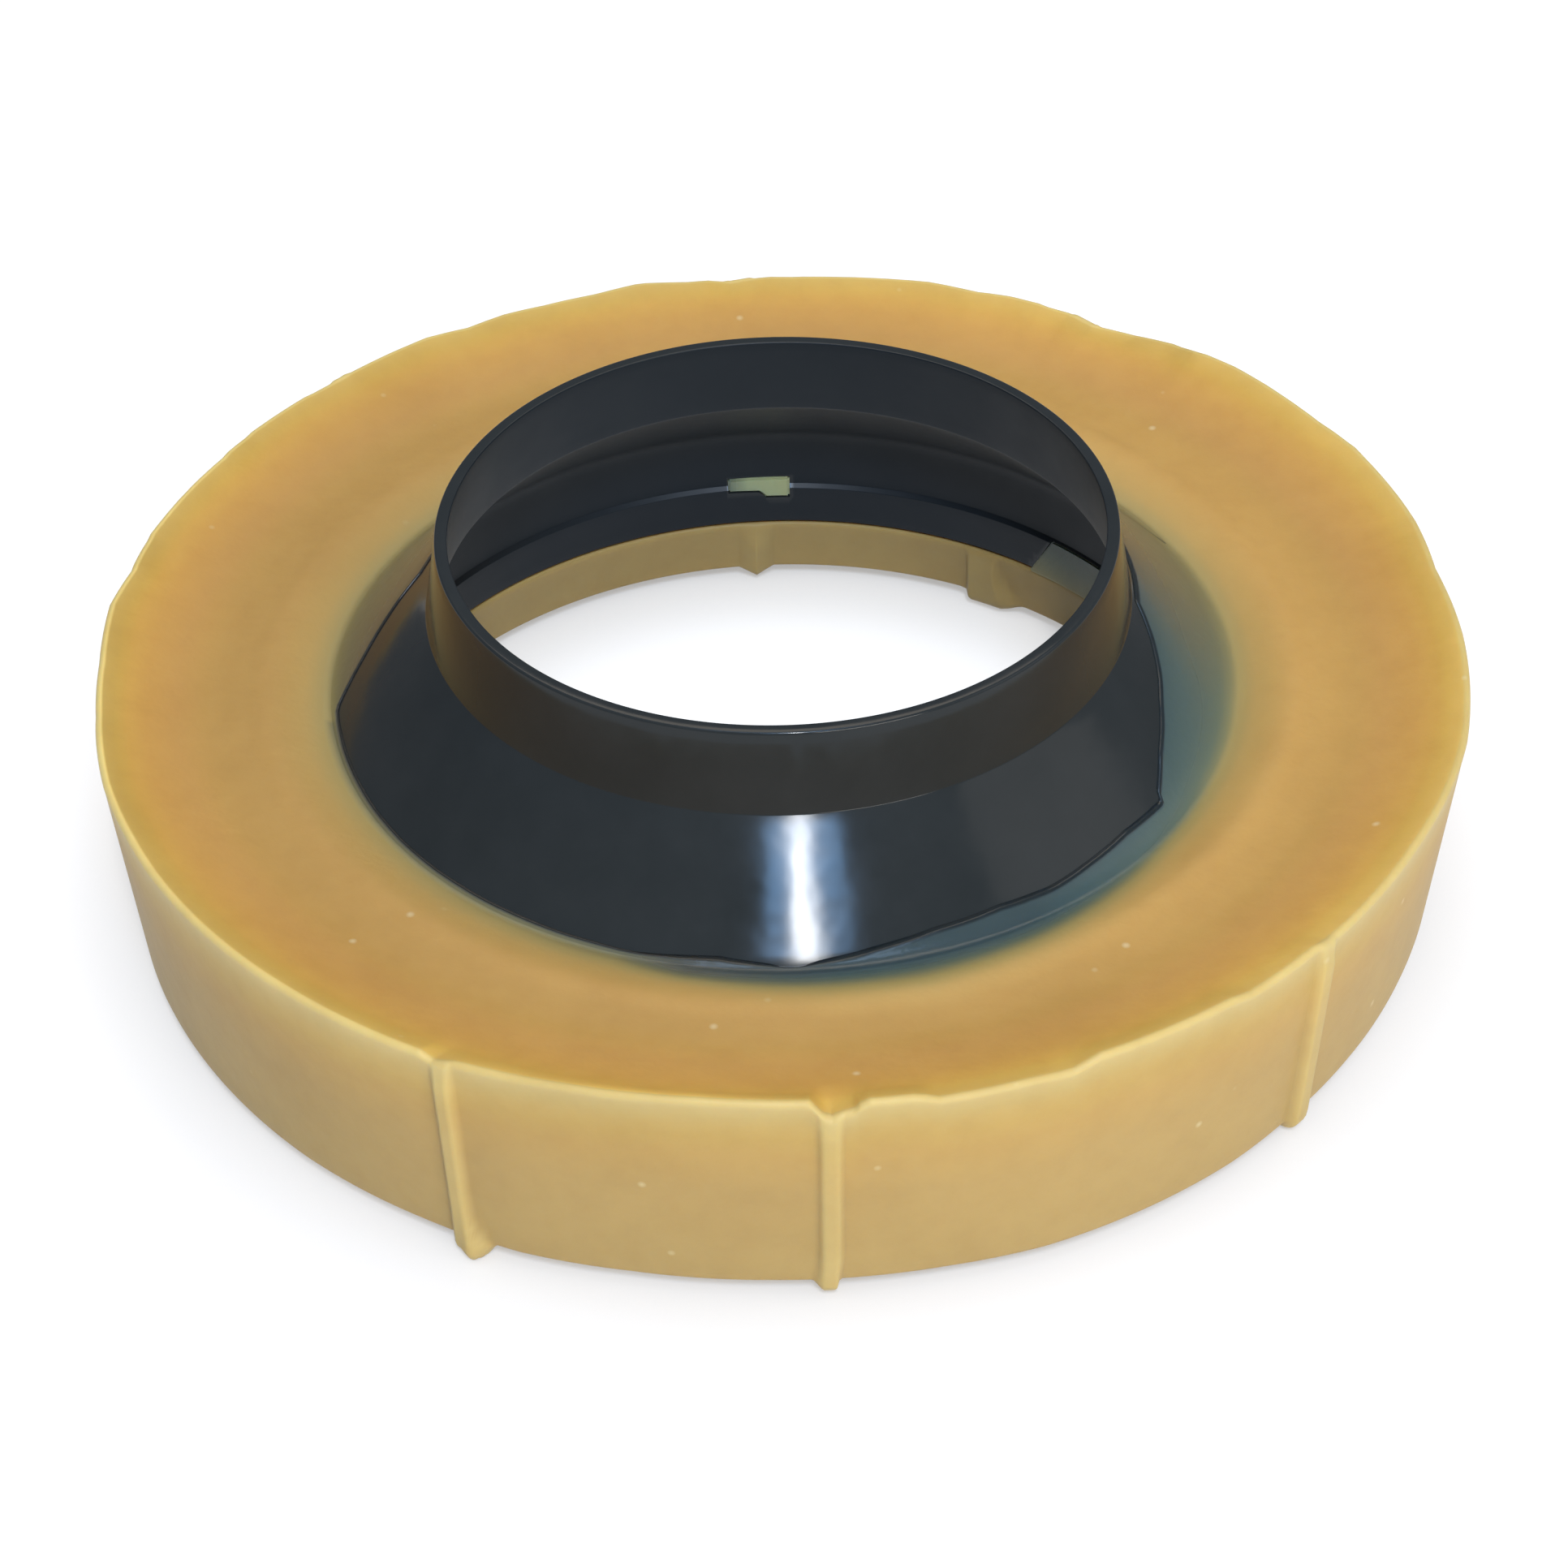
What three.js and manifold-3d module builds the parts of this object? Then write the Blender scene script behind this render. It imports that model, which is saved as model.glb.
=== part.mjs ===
// Toilet pan seal: a cast wax ring moulded round a black plastic horn.
// Millimetres, +Z up, neck of the horn upward, origin on the axis at the plane that the ring rests on.
import * as THREE from 'three';
import { mergeVertices } from 'three/addons/utils/BufferGeometryUtils.js';
import Module from 'manifold-3d';

const wasm = await Module();
wasm.setup();

// Room left between the wax and the plastic
const clearance = 0.3;

// Wax ring: outer wall, lip and foot
const ringDiameter = 140;
const ringHeight = 24;
const wallDraft = 5.5;
const lipRound = 0.6;
const lipReach = 3;
const footRound = 0.9;

// Wax ring: dished top and bore
const dishFromWall = 11;
const dishDepth = 3.1;
const swellFromCone = 6;
const swellDepth = 2.6;
const boreFlare = 1;

// Ribs from the casting tray: straight bars down the wall, under the ring and up the bore, which a short one
// doesn't reach
const ribProud = 0.9;
const ribDepth = 1.4;
const ribRoot = 3;
const ribWidth = 2.4;
const ribBelowLip = 1.2;
const knobRadius = 2.6;
const knobLean = 0.9;
const ribs = [
  { at: -116.7, nick: 0.6, knob: 'wall' },
  { at: -87.1, nick: 1 },
  { at: -44.2, nick: 0.4 },
  { at: 58.6, nick: 0.6, knob: 'bore' },
  { at: 93.5, nick: 0.5 },
  { at: 134, nick: 0.6, short: true },
];

// Where the lip is low: a nick at each rib, dips between them in degrees and millimetres, and a slow wave
const nickSpan = 5;
const lipDips = [
  { at: -60, span: 7, drop: 0.6 },
  { at: 54, span: 12, drop: 0.6 },
];
const lipWave = 0.2;
const lipMostDrop = 1;

// Horn: neck, cone, collar and skirt
const rimDiameter = 68.5;
const neckLength = 8.7;
const shoulderDiameter = 71.4;
const hornWall = 1.3;
const coneAngle = 45;
const coneFootBelowLip = 4.5;
const collarDiameter = 92;
const collarWall = 1.2;
const stepBelowLip = 12;
const skirtLength = 4.9;
const skirtWall = 1.65;
const skirtDraft = 0.3;

// Horn: flange that the wax grips
const flangeBelowLip = 8.8;
const flangeThickness = 1.4;
const flangeCover = 12;

// Openings through the skirt, where the wax keys in, in degrees and above or below the step
const windows = [
  { from: 88, to: 97, above: 1.2, below: 1.5 },
  { from: 33, to: 51, above: 0, below: skirtLength },
];
const keyRecess = 0.25;
const keyRoot = 1.5;

const roundSegments = 120;

const degree = Math.PI / 180;
const underside = ribDepth;
const lip = underside + ringHeight;
const lipRadius = ringDiameter / 2;
const footRadius = lipRadius - ringHeight * Math.tan(wallDraft * degree);
const wallRadius = (z) => footRadius + (lipRadius - footRadius) * (z - underside) / ringHeight;

const rimRadius = rimDiameter / 2;
const shoulderRadius = shoulderDiameter / 2;
const collarRadius = collarDiameter / 2;
const collarBore = collarRadius - collarWall;
const skirtBore = collarRadius - skirtWall;
const skirtFoot = skirtBore + skirtDraft;
const coneRise = Math.tan(coneAngle * degree);
const coneFoot = lip - coneFootBelowLip;
const shoulder = coneFoot + (collarRadius - shoulderRadius) * coneRise;
const rimTop = shoulder + neckLength;
const step = lip - stepBelowLip;
const skirtBottom = step - skirtLength;
const flangeTop = lip - flangeBelowLip;
const flangeUnder = flangeTop - flangeThickness;
const flangeRadius = footRadius - flangeCover;

const waxInner = collarRadius + clearance;
const boreTop = skirtBottom - clearance;
const boreRadius = skirtFoot + boreFlare;
const dishRadius = lipRadius - dishFromWall;
const swellRadius = waxInner + swellFromCone;

function toManifold(geometry) {
  geometry.deleteAttribute('normal');
  geometry.deleteAttribute('uv');
  const merged = mergeVertices(geometry, 1e-4);
  const corners = merged.index.array;
  const triangles = [];
  for (let i = 0; i < corners.length; i += 3) {
    const [a, b, c] = corners.subarray(i, i + 3);
    if (a !== b && b !== c && c !== a) triangles.push(a, b, c);
  }
  return new wasm.Manifold(new wasm.Mesh({
    numProp: 3,
    vertProperties: new Float32Array(merged.getAttribute('position').array),
    triVerts: new Uint32Array(triangles),
  }));
}

function toGeometry(manifold) {
  const mesh = manifold.getMesh();
  const geometry = new THREE.BufferGeometry();
  geometry.setAttribute('position', new THREE.BufferAttribute(mesh.vertProperties, 3));
  geometry.setIndex(new THREE.BufferAttribute(mesh.triVerts, 1));
  geometry.computeVertexNormals();
  return geometry;
}

// Closed [radius, height] outline turned about +Z
function turned(outline, reshape) {
  const points = [...outline, outline[0]].map(([r, z]) => new THREE.Vector2(r, z));
  const geometry = new THREE.LatheGeometry(points, roundSegments);
  geometry.rotateX(Math.PI / 2);
  if (reshape) reshape(geometry.getAttribute('position'));
  return toManifold(geometry);
}

// Block between two radii and two bearings
function sector(inner, outer, from, to, bottom, top) {
  const shape = new THREE.Shape();
  shape.absarc(0, 0, outer, from * degree, to * degree, false);
  shape.absarc(0, 0, inner, to * degree, from * degree, true);
  const geometry = new THREE.ExtrudeGeometry(shape, {
    depth: top - bottom,
    bevelEnabled: false,
    curveSegments: 8,
  });
  geometry.translate(0, 0, bottom);
  return toManifold(geometry);
}

// Upright slab that stands across the ring at one bearing
function slab(bearing, width, inner, outer, bottom, top) {
  const geometry = new THREE.BoxGeometry(outer - inner, width, top - bottom);
  geometry.translate((inner + outer) / 2, 0, (bottom + top) / 2);
  geometry.rotateZ(bearing * degree);
  return toManifold(geometry);
}

// Quarter or half turn of an ellipse as [radius, height] points
function arc(centre, across, up, from, to, steps) {
  return Array.from({ length: steps + 1 }, (_, i) => {
    const turn = (from + (to - from) * i / steps) * degree;
    return [centre[0] + across * Math.cos(turn), centre[1] + up * Math.sin(turn)];
  });
}

function windowLimits(window, margin) {
  const trim = margin / collarRadius / degree;
  return {
    from: window.from + trim,
    to: window.to - trim,
    bottom: step - window.below + margin,
    top: step + window.above - margin,
  };
}

// The horn's neck, cone, collar, flange and skirt in one wall
function buildHorn() {
  const wallRise = hornWall / Math.cos(coneAngle * degree);
  const neckInner = shoulderRadius - hornWall;
  const shoulderInner = shoulder + hornWall * coneRise - wallRise;
  const coneFootInner = shoulderInner - (collarBore - neckInner) * coneRise;
  let horn = turned([
    [rimRadius - hornWall, rimTop],
    [neckInner, shoulderInner],
    [collarBore, coneFootInner],
    [collarBore, step],
    [skirtBore, step],
    [skirtFoot, skirtBottom],
    [collarRadius, skirtBottom],
    [collarRadius, flangeUnder],
    [flangeRadius, flangeUnder],
    [flangeRadius, flangeTop],
    [collarRadius, flangeTop],
    [collarRadius, coneFoot],
    [shoulderRadius, shoulder],
    [rimRadius, rimTop],
  ]);
  for (const window of windows) {
    const { from, to, bottom, top } = windowLimits(window, 0);
    const through = window.below < skirtLength ? bottom : bottom - clearance;
    horn = horn.subtract(sector(skirtBore - collarWall, waxInner, from, to, through, top));
  }
  return horn;
}

// Lets the lip down at its nicks and dips and along its wave, less so further in
function raggedLip(position) {
  for (let i = 0; i < position.count; i += 1) {
    const [x, y, z] = [position.getX(i), position.getY(i), position.getZ(i)];
    const share = (Math.hypot(x, y) - lipRadius + lipReach) / (lipReach - lipRound);
    if (share <= 0 || z < lip - lipReach / 2) continue;
    const bearing = Math.atan2(y, x);
    let drop = lipWave * (1 + Math.sin(9 * bearing) * Math.sin(4 * bearing + 1)) / 2;
    for (const low of [...lipDips, ...ribs.map((rib) => ({ at: rib.at, span: nickSpan, drop: rib.nick }))]) {
      const turn = THREE.MathUtils.euclideanModulo(bearing / degree - low.at, 360);
      const away = Math.min(turn, 360 - turn);
      drop += low.drop * Math.max(0, 1 - 2 * away / low.span);
    }
    position.setZ(i, z - Math.min(drop, lipMostDrop) * Math.min(share, 1));
  }
}

function waxBody() {
  const wallTop = lip - lipReach / 2;
  const dish = new THREE.SplineCurve([
    new THREE.Vector2(lipRadius - lipRound, lip),
    new THREE.Vector2(dishRadius, lip - dishDepth),
    new THREE.Vector2(swellRadius, lip - swellDepth),
    new THREE.Vector2(waxInner, coneFoot),
  ]).getPoints(14).map((p) => [p.x, p.y]);
  return turned([
    [boreRadius, underside],
    ...arc([footRadius - footRound, underside + footRound], footRound, footRound, -90, 0, 3),
    [wallRadius(wallTop), wallTop],
    ...arc([lipRadius - lipRound, lip - lipRound], lipRound, lipRound, 0, 90, 4),
    ...dish.slice(1),
    [skirtFoot, coneFoot],
    [skirtFoot, boreTop],
  ], raggedLip);
}

// The ribs' common section, of which each slab keeps one bar
function ribSection() {
  const ribTop = lip - ribBelowLip;
  return turned([
    [boreRadius - ribProud, underside - ribDepth],
    [footRadius, underside - ribDepth],
    [footRadius + ribProud, underside],
    [lipRadius + ribProud, ribTop],
    [lipRadius - lipReach, ribTop],
    [footRadius - ribRoot, underside + ribRoot],
    [boreRadius + ribRoot, underside + ribRoot],
    [boreRadius + ribRoot, boreTop],
    [skirtFoot - ribProud / 2, boreTop],
  ]);
}

function ribKnob(rib) {
  const out = rib.knob === 'wall' ? footRadius - knobRadius / 2 : boreRadius + knobRadius / 2;
  const bearing = rib.at * degree + knobLean / out;
  const geometry = new THREE.SphereGeometry(knobRadius, 16, 10);
  geometry.translate(out * Math.cos(bearing), out * Math.sin(bearing), knobRadius);
  return toManifold(geometry);
}

// The horn's space in the wax, one clearance larger all round
function hornSpace() {
  return turned([
    [skirtBore - collarWall, coneFoot + collarWall],
    [skirtBore - collarWall, boreTop],
    [waxInner, boreTop],
    [waxInner, flangeUnder - clearance],
    [flangeRadius + clearance, flangeUnder - clearance],
    [flangeRadius + clearance, flangeTop + clearance],
    [waxInner, flangeTop + clearance],
    [waxInner, coneFoot + collarWall],
  ]);
}

function buildRing() {
  let ring = waxBody();
  const section = ribSection();
  for (const rib of ribs) {
    const inner = rib.short ? boreRadius + ribRoot : skirtBore - ribProud;
    const bar = slab(rib.at, ribWidth, inner, lipRadius + ribRoot, 0, lip);
    ring = ring.add(section.intersect(bar));
    if (rib.knob) ring = ring.add(ribKnob(rib));
  }
  ring = ring.subtract(hornSpace());
  for (const window of windows) {
    const { from, to, bottom, top } = windowLimits(window, clearance);
    const foot = window.below < skirtLength ? bottom : boreTop - clearance;
    ring = ring.add(sector(skirtBore + keyRecess, waxInner + keyRoot, from, to, foot, top));
  }
  return ring;
}

const wax = new THREE.MeshStandardMaterial({ color: 0xc4a05c, roughness: 0.55, metalness: 0 });
wax.name = 'amber_wax';
const plastic = new THREE.MeshStandardMaterial({ color: 0x20242a, roughness: 0.2, metalness: 0 });
plastic.name = 'black_polyethylene';

const ringMesh = new THREE.Mesh(toGeometry(buildRing()), wax);
ringMesh.name = 'wax_ring';
const hornMesh = new THREE.Mesh(toGeometry(buildHorn()), plastic);
hornMesh.name = 'horn';

const group = new THREE.Group();
group.name = 'toilet_pan_seal';
group.add(ringMesh, hornMesh);

export default group;
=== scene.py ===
"""Toilet pan seal: an amber wax ring cast round a black polyethylene horn, on a white table."""

import math

import bmesh
import bpy
import numpy as np
from mathutils import Matrix, Vector


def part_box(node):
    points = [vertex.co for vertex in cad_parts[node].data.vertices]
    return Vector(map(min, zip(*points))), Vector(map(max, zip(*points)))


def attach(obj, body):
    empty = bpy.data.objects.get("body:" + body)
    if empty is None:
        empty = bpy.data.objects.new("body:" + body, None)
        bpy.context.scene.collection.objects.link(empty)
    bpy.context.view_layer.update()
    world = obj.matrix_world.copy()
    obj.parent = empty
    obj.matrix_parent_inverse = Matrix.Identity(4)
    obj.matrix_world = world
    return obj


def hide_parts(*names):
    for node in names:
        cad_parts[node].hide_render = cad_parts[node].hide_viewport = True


bl_info = {
    "name": "Toilet pan seal",
    "version": (1, 0, 0),
    "blender": (4, 5, 0),
    "location": "View3D > Sidebar > Pan seal",
    "description": "Builds a wax pan seal with its plastic horn, and the table it lies on",
    "category": "Add Mesh",
}

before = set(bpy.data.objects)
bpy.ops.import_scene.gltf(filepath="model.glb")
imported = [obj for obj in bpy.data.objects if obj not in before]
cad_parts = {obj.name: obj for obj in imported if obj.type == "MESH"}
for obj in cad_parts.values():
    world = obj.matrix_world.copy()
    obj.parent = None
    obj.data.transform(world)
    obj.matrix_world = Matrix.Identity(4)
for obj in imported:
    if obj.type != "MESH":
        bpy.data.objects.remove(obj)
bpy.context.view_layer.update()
RING_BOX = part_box("wax_ring")
HORN_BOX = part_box("horn")

MM = 0.001

# Heights and radii in millimetres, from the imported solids, and the wall's draft in degrees
RING_RADIUS = (RING_BOX[1][0] - RING_BOX[0][0]) / 2 / MM
RIM_TOP = HORN_BOX[1][2] / MM
SKIRT_BOTTOM = HORN_BOX[0][2] / MM
FLANGE_RADIUS = (HORN_BOX[1][0] - HORN_BOX[0][0]) / 2 / MM
LIP = SKIRT_BOTTOM + 16.9
UNDERSIDE = 1.4
RING_HEIGHT = LIP - UNDERSIDE
WALL_DRAFT = 5.5
FOOT_RADIUS = RING_RADIUS - RING_HEIGHT * math.tan(math.radians(WALL_DRAFT))

# The horn's section
RIM_RADIUS = 34.25
SHOULDER_RADIUS = 35.7
COLLAR_RADIUS = 46.0
HORN_WALL = 1.3
COLLAR_BORE = COLLAR_RADIUS - 1.2
SKIRT_BORE = COLLAR_RADIUS - 1.65
SKIRT_FOOT = SKIRT_BORE + 0.3
STEP = SKIRT_BOTTOM + 4.9
CONE_FOOT = LIP - 4.5
CONE_HEIGHT = COLLAR_RADIUS - SHOULDER_RADIUS
SHOULDER = CONE_FOOT + CONE_HEIGHT
FLANGE_TOP = LIP - 8.8
FLANGE_UNDER = FLANGE_TOP - 1.4

# The wax round it
WAX_GAP = 0.3
BORE_RADIUS = SKIRT_FOOT + 1.0
BORE_TOP = SKIRT_BOTTOM - WAX_GAP
LIP_ROUND = 0.5
DISH_EDGE = (RING_RADIUS - 3.2, LIP - 0.95)
FILM = 0.16
FILM_ROWS = 12
# The wax's colour and painted shade change with the way from the lip's crest, over this many millimetres
TONE_DEPTH = 24

# Bars that the casting tray leaves: bearing, half width, how far they stand out at wall, base and bore,
# how far the foot bulges clockwise and counterclockwise, how pointed the bore end is, and how much more
# the foot stands out on its counterclockwise side
RIBS = [
    dict(zip(("at", "half", "wall", "base", "bore", "bulge", "point", "knob"), rib))
    for rib in (
        (-116.7, 0.9, 0.7, 1.4, 0.7, (0.0, 1.0), 0.0, 0.6),
        (-87.1, 0.95, 0.6, 1.3, 0.7, (0.25, -0.3), 0.5, 0.0),
        (-44.2, 1.0, 0.75, 1.15, 0.7, (0.1, 0.0), 0.5, 0.0),
        (59.0, 1.8, 0.8, 1.4, 0.9, (1.6, 0.2), 0.0, 0.0),
        (93.1, 1.5, 0.7, 1.4, 1.1, (0.0, 0.0), 1.0, 0.0),
        (134.0, 1.1, 0.7, 1.3, 0.0, (0.0, 0.0), 0.0, 0.0),
    )
]

# The two openings in the horn's skirt, and the wax keys that fill them: bearings of the ends (the second
# end at its bottom and top), the bottom's line and the top's height, and along the key how much light
# comes through, how much plastic shows, and how much more of it shows towards the top
OPENINGS = (
    {
        "low": 88.0, "high": (97.0, 97.0), "top": STEP + 1.1,
        "bottom": ((88, STEP - 1.5), (91.5, STEP - 1.5), (92.3, STEP - 0.75), (97, STEP - 0.6)),
        "lit": ((0, 0.46), (0.65, 0.48), (1, 0.1)), "cover": ((0, 0.5), (0.5, 0.62), (1, 0.8)), "rise": 0.0,
    },
    {
        "low": 33.0, "high": (51.0, 47.0), "top": STEP,
        "bottom": ((33, SKIRT_BOTTOM - 0.6), (51, SKIRT_BOTTOM - 0.6)),
        "lit": ((0, 0.0), (1, 0.0)), "cover": ((0, 0.5), (1, 0.5)), "rise": 0.26,
    },
)

# Stretches of bearing where nicks, the crack and the film's edge need mesh columns closer together
FINE_STRETCHES = ((-89.5, -83), (-80, -78), (-69.5, -65.5), (-55, -52), (26, 39), (47, 55))

# Height of the ragged lip over its plane, by bearing
LIP_LINE = (
    (-180, 0.0), (-172, -0.3), (-168, 0.1), (-155, 0.3), (-150, 0.0), (-141, 0.1), (-126, 0.3),
    (-118.6, 0.3), (-117.4, -0.3), (-115.6, 0.3), (-107, 0.85), (-97, 1.1), (-88.6, 0.9), (-87.6, -0.7),
    (-87.0, -1.0), (-86.2, -0.6), (-85.3, -0.3), (-84.9, 0.25), (-84.2, 0.65), (-80.5, 0.5),
    (-79, -0.2), (-72, -0.2), (-68.6, -0.45), (-66.4, 0.4), (-60, 0.3), (-54.5, 0.2), (-52.5, -0.3),
    (-45.5, 0.0), (-44, -0.3), (-41, -0.3), (-30, 0.1), (-11, 0.0), (-2, 0.4), (5, 0.1), (25, -0.1),
    (39, 0.35), (46.5, 0.5), (49, -0.1), (54, -0.7), (61, -0.5), (64, 0.0), (75, 0.15), (90, 0.0),
    (93.9, -0.5), (96, 0.0), (103, 0.35), (107, 0.0), (122, 0.15), (133, 0.2), (137, -0.2), (146, -0.2),
    (149, 0.25), (154, 0.1), (163, -0.4), (167, 0.1),
)

# How far the lip and the foot stand out from the round, by bearing
LIP_OUT = (
    (-179, -0.5), (-172, -0.5), (-162, 0.0), (-30, 0.0), (-16, 0.2), (8, -0.8), (15, 0.1), (27, 0.9),
    (32, 0.4), (43, 0.6), (47, 0.2), (50, 0.6), (54, 0.2), (58, -0.6), (61, 0.4), (63, 0.0), (67, 0.2),
    (70, -0.2), (75, 0.4), (88, 0.0), (92, 0.3), (98, 0.0), (102, 0.5), (112, 0.1), (116, 0.3),
    (120, -0.2), (124, 0.6), (134, 0.1), (138, 0.7), (145, 0.7), (150, -0.1), (162, 0.3), (168, -0.5),
    (173, 0.1),
)
FOOT_OUT = (
    (-165, 0.2), (-156, 0.5), (-133, 0.8), (-121, 0.7), (-112, 0.8), (-103, 0.3), (-92, 0.2),
    (-78, 0.4), (-70, 0.8), (-52, 0.6), (-45, 0.25), (-36, 0.1), (-22, 0.0), (0, 0.0), (90, 0.2),
    (180, 0.1),
)

# Painted light and shade on the dish's outer slope, its inner floor and the wall, as multipliers by bearing
SLOPE_PAINTED_SHADE = (
    (-175, 0.93), (-150, 0.96), (-120, 1.0), (-100, 1.1), (-75, 1.04), (-60, 1.05), (-40, 1.06),
    (-20, 1.05), (0, 1.02), (20, 0.96), (60, 0.95), (80, 0.98), (100, 1.06), (120, 1.05), (140, 0.98),
    (160, 0.9),
)
FLOOR_PAINTED_SHADE = (
    (-175, 0.87), (-150, 0.88), (-120, 0.9), (-75, 0.92), (-60, 0.97), (-40, 1.0), (-20, 1.02),
    (20, 1.04), (60, 1.0), (140, 0.97), (160, 0.9),
)
WALL_PAINTED_SHADE = (
    (-165, 1.02), (-150, 0.97), (-122, 0.96), (-98, 0.95), (-66, 0.97), (-22, 0.97), (0, 1.0),
    (180, 1.0),
)
# How much painted light lightens the wall's top 5 mm, then painted light and shade on the bore and the dish's
# outer 3 mm
WALL_TOP_PAINTED_LIGHT = ((-165, 0.3), (-150, 0.2), (-135, 0.16), (-122, 0.12), (-108, 0.0), (0, 0.0), (180, 0.2))
BORE_PAINTED_SHADE = ((30, 0.72), (55, 0.8), (70, 1.0), (120, 1.06), (-90, 1.0))
LIP_PAINTED_SHADE = (
    (-175, 0.84), (-150, 0.9), (-120, 1.02), (-104, 1.2), (-97, 1.2), (-88, 1.0), (-75, 0.98),
    (-60, 0.97), (-40, 1.0), (-20, 1.05), (0, 1.05), (20, 1.04), (60, 0.98), (80, 0.95), (140, 0.94),
    (160, 0.88),
)

# How far the thin wax film runs up the cone, as a share of the cone's height, by bearing
FILM_LINE = (
    (-180, 0.36), (-177, 0.22), (-175, 0.13), (-173.5, 0.06), (-160, 0.06), (-150, 0.055),
    (-125, 0.045), (-108, 0.04), (-103, 0.06), (-98, 0.08), (-92, 0.04), (-89.3, 0.01), (-86, 0.05),
    (-80, 0.1), (-72, 0.15), (-63, 0.17), (-55.8, 0.15), (-47, 0.18), (-41.7, 0.2), (-33.6, 0.18),
    (-33, 0.24), (-28, 0.4), (-20.6, 0.58), (-14.7, 0.7), (-9.9, 0.81), (-6.5, 0.9), (-4, 0.97),
    (160, 0.97), (169, 0.84), (172.6, 0.66), (177.5, 0.46),
)

# How much of the black plastic shows through the wax at the cone's foot, by bearing, how many millimetres
# of the dish it goes on undimmed, and over how many more it fades
SHOW_THROUGH = (
    (-180, 0.46), (-150, 0.46), (-125, 0.56), (-110, 0.66), (-102, 0.92), (-90, 0.97), (-75, 0.96),
    (-60, 0.95), (-48, 0.84), (-38, 0.74), (-25, 0.56), (-10, 0.5), (30, 0.5), (160, 0.46),
)
FILM_SHOW = (
    (-180, 0.72), (-110, 0.72), (-95, 0.96), (-60, 0.96), (-42, 0.95), (-25, 0.84), (-8, 0.75),
    (10, 0.7),
)
DARK_REACH = (
    (-180, 0.0), (-110, 0.0), (-101, 0.9), (-90, 1.1), (-76, 1.2), (-62, 1.0), (-50, 0.5), (-38, 0.0),
    (175, 0.0),
)
FADE = (
    (-180, 6.0), (-165, 7.0), (-110, 6.5), (-100, 6.0), (-88, 8.0), (-75, 9.5), (-60, 8.0), (-40, 5.0),
    (-15, 5.5), (165, 6.0),
)

# How soft the film's edge is and how far its fillet at the foot stands out, in millimetres, where the
# film is bare but for a painted shadow line at its edge, and where it looks brown, as on the shaded side; all by
# bearing
FILM_EDGE = (
    (-180, 0.12), (-172, 0.12), (-165, 0.3), (-100, 0.4), (30, 0.4), (60, 0.15), (160, 0.12),
)
FILM_FILLET = (
    (-180, 0.3), (-165, 0.1), (-110, 0.1), (-102, 0.6), (-90, 0.85), (-72, 0.85), (-55, 0.6),
    (160, 0.5),
)
BARE_EDGE = ((-174, 0), (-171, 1), (-109, 1), (-105, 0))
WARMTH = ((-180, 1), (-100, 0.6), (-84, 0), (-12, 0.0), (2, 0.3), (16, 0.7), (32, 1))
# The crack's two ends by bearing, and how high the second is on the cone, as a share of its height
CRACK = (26.0, 38.5, 0.24)


def linear(colour):
    """A six-digit sRGB colour as linear red, green, blue and full alpha."""
    parts = [int(colour[i:i + 2], 16) / 255 for i in (0, 2, 4)]
    return [p / 12.92 if p <= 0.04045 else ((p + 0.055) / 1.055) ** 2.4 for p in parts] + [1.0]


def node(tree, kind, settings=None, links=None):
    """Adds a node, sets its properties, sockets and colour stops, and links it from other nodes' outputs."""
    made = tree.nodes.new(kind)
    for key, value in (settings or {}).items():
        if key == "stops":
            band = made.color_ramp
            for stop in value[2:]:
                band.elements.new(stop[0])
            for element, (position, colour) in zip(band.elements, value):
                element.position = position
                element.color = linear(colour)
        elif isinstance(key, str) and hasattr(made, key):
            setattr(made, key, value)
        else:
            made.inputs[key].default_value = value
    for key, source in (links or {}).items():
        tree.links.new(source, made.inputs[key])
    return made


def new_material(name):
    """An empty node material, and its node tree."""
    material = bpy.data.materials.new(name)
    material.use_nodes = True
    material.node_tree.nodes.clear()
    return material, material.node_tree


def smooth(low, high, value):
    """Zero below low, one above high and an S-curve between them."""
    t = np.clip((value - low) / (high - low), 0, 1)
    return t * t * (3 - 2 * t)


def line(start, end, count):
    """Points from start towards end, without the end."""
    t = np.linspace(0, 1, count, endpoint=False)[:, None]
    return np.array(start) * (1 - t) + np.array(end) * t


def bend(centre, radius, start, stop, count):
    """Points on a circular arc, in degrees."""
    turn = np.radians(np.linspace(start, stop, count))
    return np.stack([centre[0] + radius * np.cos(turn), centre[1] + radius * np.sin(turn)], 1)


def flowing(points, count):
    """A smooth curve through a few points, without its last one."""
    before, beyond = 2 * np.array(points[0]) - points[1], 2 * np.array(points[-1]) - points[-2]
    p = np.array([before, *points, beyond])
    spans = len(points) - 1
    s = np.linspace(0, spans, count, endpoint=False)
    i = s.astype(int)
    t = (s - i)[:, None]
    a, b, c, d = p[i], p[i + 1], p[i + 2], p[i + 3]
    square, cube = (2 * a - 5 * b + 4 * c - d) * t**2, (3 * b - a - 3 * c + d) * t**3
    return 0.5 * (2 * b + (c - a) * t + square + cube)


def rounded(corners, steps=4):
    """A closed outline of (radius, height, fillet) corners, each rounded by its fillet."""
    out = []
    for i, (r, z, fillet) in enumerate(corners):
        here = np.array((r, z))
        back = np.array(corners[i - 1][:2]) - here
        ahead = np.array(corners[(i + 1) % len(corners)][:2]) - here
        back, ahead = back / np.linalg.norm(back), ahead / np.linalg.norm(ahead)
        half = math.acos(float(np.clip(back @ ahead, -1, 1))) / 2
        reach = fillet / math.tan(half)
        start, stop = here + back * reach, here + ahead * reach
        for t in np.linspace(0, 1, steps + 1):
            out.append((1 - t) ** 2 * start + 2 * t * (1 - t) * here + t * t * stop)
    return np.array(out)


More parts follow.
